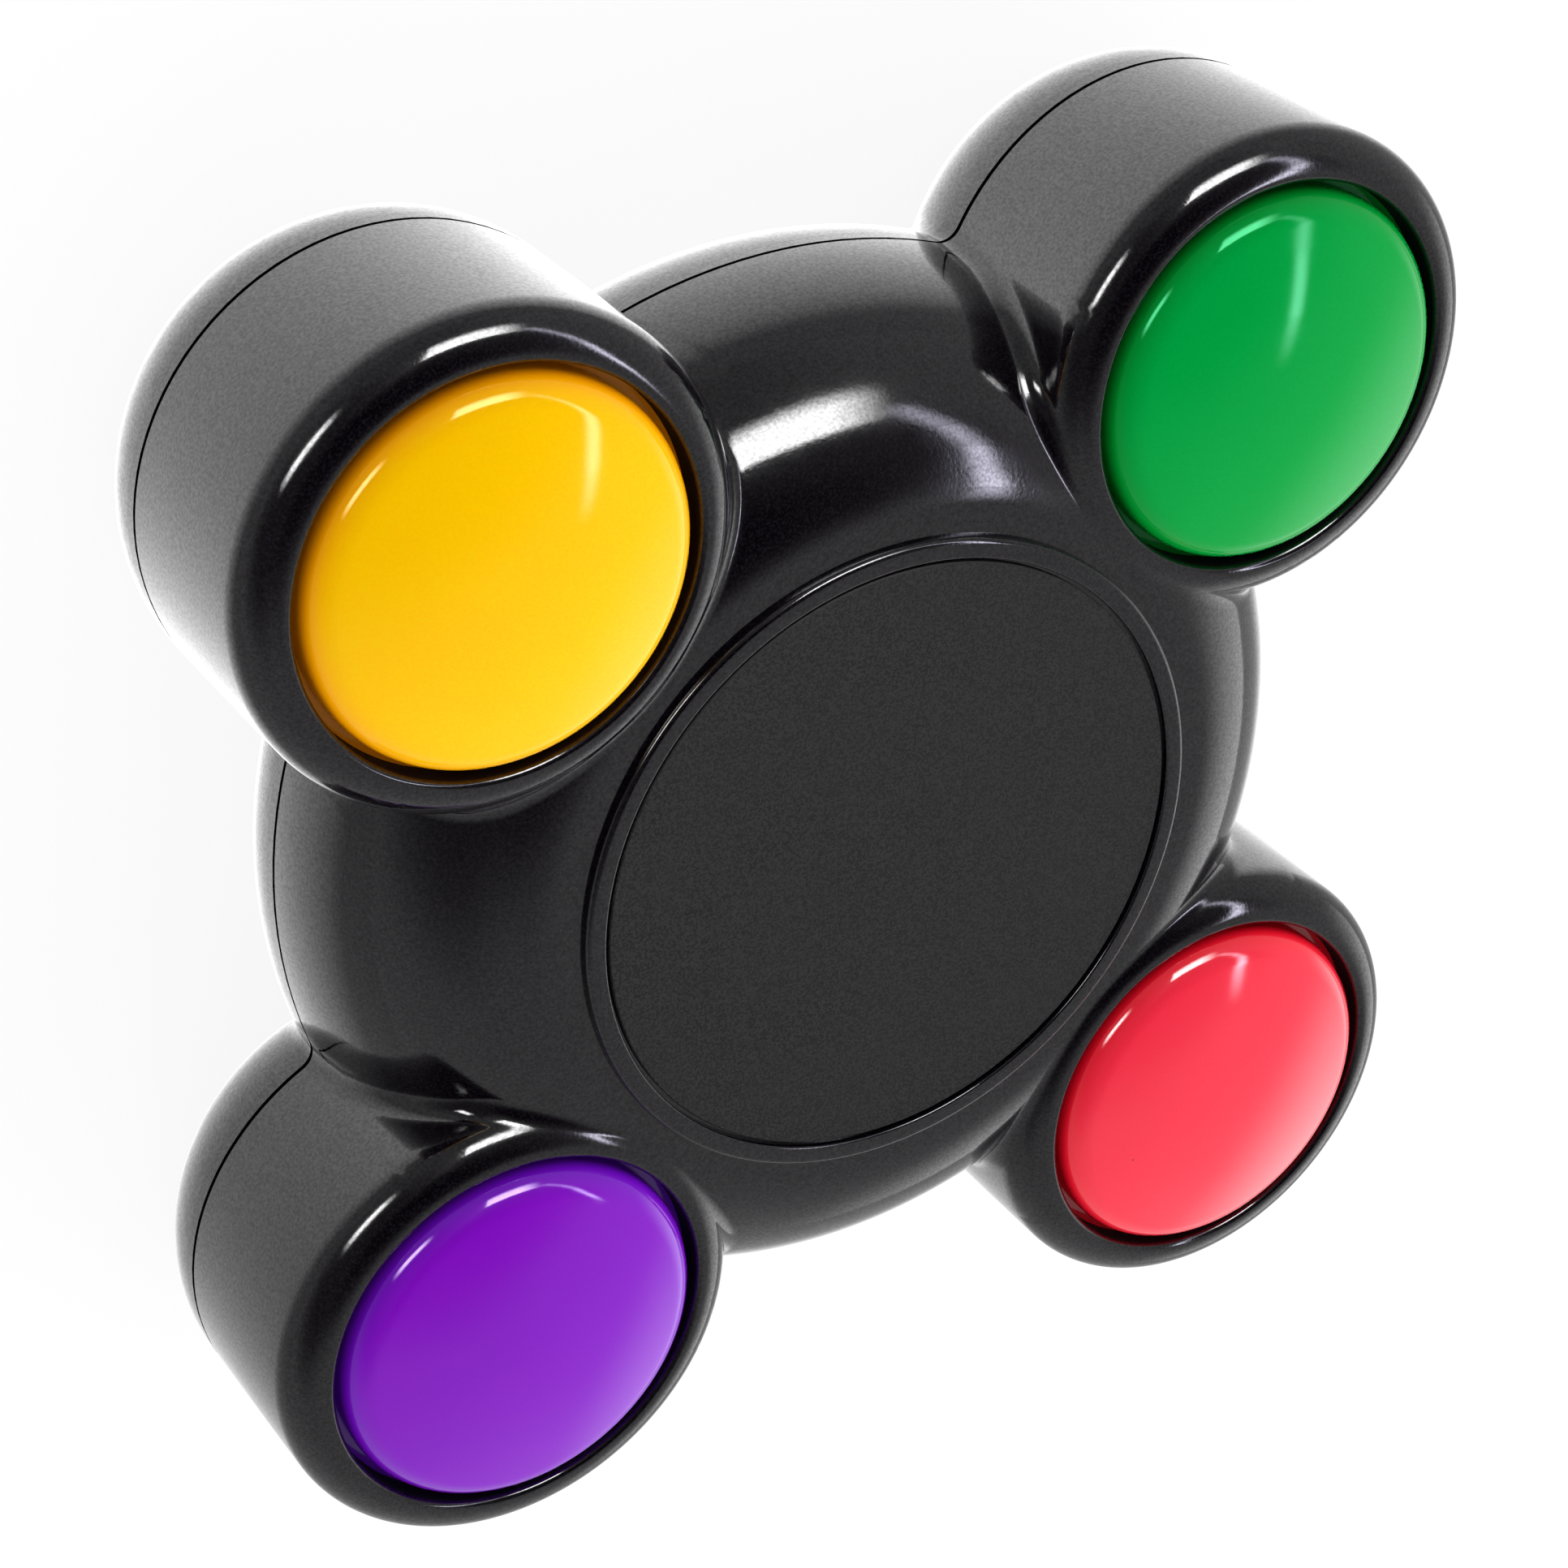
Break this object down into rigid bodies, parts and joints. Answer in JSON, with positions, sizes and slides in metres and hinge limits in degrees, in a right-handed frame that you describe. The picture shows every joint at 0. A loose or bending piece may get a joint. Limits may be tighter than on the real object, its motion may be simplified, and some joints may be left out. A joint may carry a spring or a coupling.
{
  "type": "electronic memory game",
  "caption": "Hand-held light and sound memory game: a round disc with pods on its diagonals, each holding a large domed push button lit from inside.",
  "frame": {"origin": "middle of the flat back, on the axis of the disc", "axes": "+Z out of the face with the buttons, +Y towards the yellow and green buttons, +X towards the green and red buttons"},
  "size_m": [0.1, 0.1, 0.0323],
  "materials": {
    "housing": "moulded black, polished",
    "label": "fine matte",
    "cap_yellow": "clear-glossed, slightly translucent",
    "cap_green": "clear-glossed, slightly translucent",
    "cap_purple": "clear-glossed, slightly translucent",
    "cap_red": "clear-glossed, slightly translucent",
    "lamp_yellow": "clear tinted",
    "lamp_green": "clear tinted",
    "lamp_purple": "clear tinted",
    "lamp_red": "clear tinted",
    "board": "solder mask",
    "resin": "cast",
    "switch_body": "moulded",
    "spring_steel": "bright wire",
    "screw_steel": "zinc plated",
    "pressed_steel": "pressed sheet",
    "aluminium_can": "sleeved can",
    "magnet": "ferrite",
    "cone_film": "thin film",
    "nickel": "nickel plated",
    "battery": "printed jacket, bare of marks",
    "wire_red": "insulated lead",
    "wire_black": "insulated lead"
  },
  "bodies": {
    "housing": {"front_housing": "housing", "rear_housing": "housing", "centre_label": "label", "main_board": "board", "game_chip": "resin", "resistors": "resin", "driver_transistors": "resin", "capacitor": "aluminium_can", "board_screws": "screw_steel", "housing_screws": "screw_steel", "speaker_frame": "pressed_steel", "speaker_cone": "cone_film", "speaker_magnet": "magnet", "power_switch_body": "pressed_steel", "switch_screws": "screw_steel", "contact_positive": "nickel", "contact_negative": "nickel", "contact_bridge": "nickel", "battery_wires": "wire_red", "speaker_wires": "wire_black", "battery_one": "battery", "battery_two": "battery", "cap_spring_yellow": "spring_steel", "touch_switch_yellow": "switch_body", "lamp_yellow": "lamp_yellow", "cap_spring_green": "spring_steel", "touch_switch_green": "switch_body", "lamp_green": "lamp_green", "cap_spring_purple": "spring_steel", "touch_switch_purple": "switch_body", "lamp_purple": "lamp_purple", "cap_spring_red": "spring_steel", "touch_switch_red": "switch_body", "lamp_red": "lamp_red"},
    "cap_yellow": {"button_cap_yellow": "cap_yellow"},
    "plunger_yellow": {"switch_plunger_yellow": "switch_body"},
    "cap_green": {"button_cap_green": "cap_green"},
    "plunger_green": {"switch_plunger_green": "switch_body"},
    "cap_purple": {"button_cap_purple": "cap_purple"},
    "plunger_purple": {"switch_plunger_purple": "switch_body"},
    "cap_red": {"button_cap_red": "cap_red"},
    "plunger_red": {"switch_plunger_red": "switch_body"},
    "battery_cover": {"battery_door": "housing", "door_screw": "screw_steel"},
    "power_slider": {"power_knob": "housing", "power_lever": "switch_body"}
  },
  "joints": [
    {"name": "press_yellow", "type": "slide", "parent": "housing", "child": "cap_yellow", "axis": [0, 0, -1], "range_m": [0, 0.0015], "stiffness_N_per_m": 500, "springref_m": -0.0012, "deforming": ["cap_spring_yellow"]},
    {"name": "plunger_slide_yellow", "type": "slide", "parent": "housing", "child": "plunger_yellow", "axis": [0, 0, -1], "range_m": [0, 0.0003]},
    {"name": "press_green", "type": "slide", "parent": "housing", "child": "cap_green", "axis": [0, 0, -1], "range_m": [0, 0.0015], "stiffness_N_per_m": 500, "springref_m": -0.0012, "deforming": ["cap_spring_green"]},
    {"name": "plunger_slide_green", "type": "slide", "parent": "housing", "child": "plunger_green", "axis": [0, 0, -1], "range_m": [0, 0.0003]},
    {"name": "press_purple", "type": "slide", "parent": "housing", "child": "cap_purple", "axis": [0, 0, -1], "range_m": [0, 0.0015], "stiffness_N_per_m": 500, "springref_m": -0.0012, "deforming": ["cap_spring_purple"]},
    {"name": "plunger_slide_purple", "type": "slide", "parent": "housing", "child": "plunger_purple", "axis": [0, 0, -1], "range_m": [0, 0.0003]},
    {"name": "press_red", "type": "slide", "parent": "housing", "child": "cap_red", "axis": [0, 0, -1], "range_m": [0, 0.0015], "stiffness_N_per_m": 500, "springref_m": -0.0012, "deforming": ["cap_spring_red"]},
    {"name": "plunger_slide_red", "type": "slide", "parent": "housing", "child": "plunger_red", "axis": [0, 0, -1], "range_m": [0, 0.0003]},
    {"name": "battery_cover_hinge", "type": "hinge", "parent": "housing", "child": "battery_cover", "pos_m": [-0.02535, -0.0065, 0.0002], "axis": [0, 1, 0], "range_deg": [0, 35]},
    {"name": "power_slide", "type": "slide", "parent": "housing", "child": "power_slider", "axis": [1, 0, 0], "range_m": [0, 0.003]}
  ],
  "couplings": [
    {"joint": "plunger_slide_yellow", "follows": "press_yellow", "ratio": 0.1666},
    {"joint": "plunger_slide_green", "follows": "press_green", "ratio": 0.1666},
    {"joint": "plunger_slide_purple", "follows": "press_purple", "ratio": 0.1666},
    {"joint": "plunger_slide_red", "follows": "press_red", "ratio": 0.1666}
  ]
}
